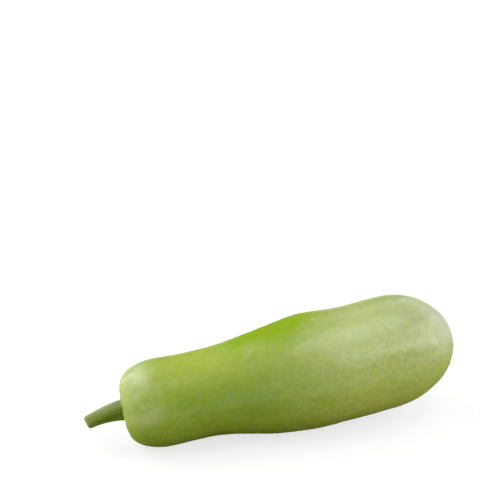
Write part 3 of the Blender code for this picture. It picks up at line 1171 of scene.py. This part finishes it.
# %% Cork colours and finish
CORK_BROWN = (0.260, 0.200, 0.090)
CORK_PATCHES = {"Size": 0.0025, "Grain": 0.55, "Softness": 0.3}
GREEN_STRENGTH = 0.6
CORK_LIGHT = (0.450, 0.390, 0.210)
CRUMBS = {"Spacing": 0.0009, "Size": 0.35, "Share": 0.6}
CRUMB_STRENGTH = 0.5
CORK_ROUGHNESS = (0.70, 0.85)
CRACKS = {"Size": 0.0007, "Fineness": 0.7}
CRACK_STRENGTH = 0.8
CRACK_DEPTH = 0.0002


def make_cork():
    """The healed ring round the stem."""
    material, tree, shader = new_material("cork_ring")
    place = piece_place(tree)
    patch = place_group(tree, blotches_group, Place=place, **CORK_PATCHES)
    crumb = place_group(tree, flecks_group, Place=place, **CRUMBS)
    relief = place_group(tree, relief_group, Place=place, **CRACKS)
    colour = tint(tree, CORK_BROWN, HOLLOW_GREEN, patch, GREEN_STRENGTH)
    inputs = {
        "Base Color": tint(tree, colour, CORK_LIGHT, crumb, CRUMB_STRENGTH),
        "Roughness": soft_range(tree, patch, 0.0, 1.0, *CORK_ROUGHNESS),
        "Normal": bent_normal(tree, relief, CRACK_STRENGTH, CRACK_DEPTH),
    }
    fill(tree, shader, inputs)
    return material


corky_ring.data.materials.append(make_cork())
print("the ring's material:", corky_ring.data.materials[0].name)

# %% [markdown]
# The floor is a wide sheet of white paper, only just below the gourd, with a faint tone in it. The
# photograph was cut out on white, so the camera sees pale paper that glows a little, and more so
# further off, where the lights don't reach. Hardly any light reaches the gourd from right below. So
# every other ray meets a different sheet: close to the gourd it is a dim yellowish green, like
# light that has met the fruit before, and further off it is white.

# %% What the floor throws back at the gourd
NEAR_BOUNCE = (0.26, 0.28, 0.035)
FAR_BOUNCE = (0.95, 0.97, 0.85)
DARK_START = 0.08
DARK_END = 0.20
DARK_MIDDLE = (0.07, -0.02, 0.0)
DARK_SHAPE = (0.5, 0.6, 1.0)


def bounce_colour(tree, place):
    """What light that comes back up from the sheet meets: dim by the gourd, pale further off."""
    moved = calculate_vector(tree, "SUBTRACT", {0: place, 1: DARK_MIDDLE})
    shaped = calculate_vector(tree, "MULTIPLY", {0: moved, 1: DARK_SHAPE})
    distance = calculate_vector(tree, "LENGTH", {0: shaped}, "Value")
    further_off = soft_range(tree, distance, DARK_START, DARK_END)
    return tint(tree, NEAR_BOUNCE, FAR_BOUNCE, further_off)


print("the floor's dim patch is", round(2 * DARK_END / DARK_SHAPE[0], 2), "m long")

# %% The floor
FLOOR_SIZE = 8.0
FLOOR_DROP = 0.0001
PAPER_WHITE = (0.30, 0.30, 0.30)
PAPER_WARM = (0.32, 0.32, 0.315)
PAPER_CLOUDS = {"Size": 0.4, "Grain": 0.5, "Softness": 0.6}
PAPER_ROUGHNESS = 0.9
PAPER_GLOSS = 0.1
WHITE = (1.0, 1.0, 1.0)
NEAR_GLOW = 0.72
FAR_GLOW = 0.955
GLOW_START = 0.25
GLOW_END = 0.90


def make_paper():
    """White paper that glows for the camera, and throws little light up at the gourd."""
    material, tree, shader = new_material("white_paper")
    place = piece_place(tree)
    cloud = place_group(tree, blotches_group, Place=place, **PAPER_CLOUDS)
    paper = tint(tree, PAPER_WHITE, PAPER_WARM, cloud)
    seen = add(tree, "ShaderNodeLightPath").outputs["Is Camera Ray"]
    far = calculate_vector(tree, "LENGTH", {0: place}, "Value")
    glow = soft_range(tree, far, GLOW_START, GLOW_END, NEAR_GLOW, FAR_GLOW)
    inputs = {
        "Base Color": tint(tree, bounce_colour(tree, place), paper, seen),
        "Roughness": PAPER_ROUGHNESS,
        "Specular IOR Level": PAPER_GLOSS,
        "Emission Color": WHITE,
        "Emission Strength": calculate(tree, "MULTIPLY", seen, glow),
    }
    fill(tree, shader, inputs)
    return material


def make_floor():
    """A plain pale floor."""
    mesh = bpy.data.meshes.new("paper_floor")
    half = FLOOR_SIZE / 2
    corners = [(-half, -half), (half, -half), (half, half), (-half, half)]
    mesh.from_pydata([(x, y, -FLOOR_DROP) for x, y in corners], [], [(0, 1, 2, 3)])
    mesh.materials.append(make_paper())
    return put_in_scene("paper_floor", mesh)


floor = make_floor()
print("the floor is", FLOOR_SIZE, "m wide")

# %% [markdown]
# Soft studio light. Each light is a flat softbox, because a gourd's wax shows the shape of what it
# mirrors. A broad panel on the left and a small high one whiten the shoulder at the stem end. A
# leaning panel on the right, with a narrow strip below it, draws the pale sheen along the upper
# belly. A top panel lights the back, a back and a rear panel light the far edge, and a weak low
# panel fills the side that faces the camera, which has no other light of its own.

# %% Lights
GOURD_MIDDLE = Vector((0, 0, 0.05))
PANEL_DISTANCE = 1.2
LEAN = -26


def soft_panel(name, azimuth, elevation, width, height, brightness, lean=0.0):
    """A flat softbox that faces the gourd. Azimuth 0 is the near side and 90 is the right."""
    turn, rise = math.radians(azimuth), math.radians(elevation)
    level = Vector((math.sin(turn), -math.cos(turn), 0))
    towards = level * math.cos(rise) + Vector((0, 0, math.sin(rise)))
    light = bpy.data.lights.new(name, "AREA")
    light.shape = "RECTANGLE"
    light.size = width
    light.size_y = height
    light.energy = brightness * math.pi * width * height
    panel = put_in_scene(name, light)
    panel.location = GOURD_MIDDLE + PANEL_DISTANCE * towards
    facing = towards.to_track_quat("Z", "Y") @ Quaternion((0, 0, 1), math.radians(lean))
    panel.rotation_euler = facing.to_euler()


soft_panel("left_panel", -116, 30, width=2.25, height=1.6, brightness=2.3)
soft_panel("left_spot", -150, 60, width=0.44, height=0.42, brightness=1.7)
soft_panel("right_panel", 72, 26, width=2.3, height=0.75, brightness=2.1, lean=LEAN)
soft_panel("right_strip", 55, 20, width=1.10, height=0.30, brightness=2.7, lean=LEAN)
soft_panel("top_panel", 60, 72, width=0.9, height=0.5, brightness=2.4)
soft_panel("back_panel", 128, 22, width=0.85, height=0.95, brightness=1.1)
soft_panel("rear_panel", -170, 15, width=0.30, height=0.45, brightness=1.6)
soft_panel("low_panel", -35, 12, width=1.2, height=0.6, brightness=0.65)

# %% [markdown]
# The room round the lights is dim, so that the panels shape the fruit. The camera sees it as pale
# as the paper. The Standard view keeps a saturated green as saturated as it is.

# %% The room
ROOM_BRIGHTNESS = 0.05
ROOM_SEEN = 0.97

room = bpy.data.worlds.new("studio_room")
room.use_nodes = True
air = room.node_tree.nodes["Background"]
seen_directly = add(room.node_tree, "ShaderNodeLightPath").outputs["Is Camera Ray"]
brightness = soft_range(room.node_tree, seen_directly, 0.0, 1.0, ROOM_BRIGHTNESS, ROOM_SEEN)
fill(room.node_tree, air, {"Color": WHITE, "Strength": brightness})
bpy.context.scene.world = room
bpy.context.scene.view_settings.view_transform = "Standard"
print("the room's brightness:", ROOM_BRIGHTNESS)

# %% [markdown]
# The camera. A long lens from a metre away flattens the gourd as in the photograph, and looks down
# on it from the left at about 24 degrees.

# %% The camera
CAMERA_PLACE = Vector((-0.31196, -0.90046, 0.60101))
CAMERA_TARGET = Vector((-0.00729, 0.06890, 0.14008))
LENS = 100.0
SENSOR_WIDTH = 36.0

view = bpy.data.cameras.new("photo_camera")
view.lens = LENS
view.sensor_width = SENSOR_WIDTH
camera = put_in_scene("photo_camera", view)
camera.location = CAMERA_PLACE
camera.rotation_euler = (CAMERA_TARGET - CAMERA_PLACE).to_track_quat("-Z", "Y").to_euler()
bpy.context.scene.camera = camera
print("the camera is", round((CAMERA_TARGET - CAMERA_PLACE).length, 2), "m from its target")
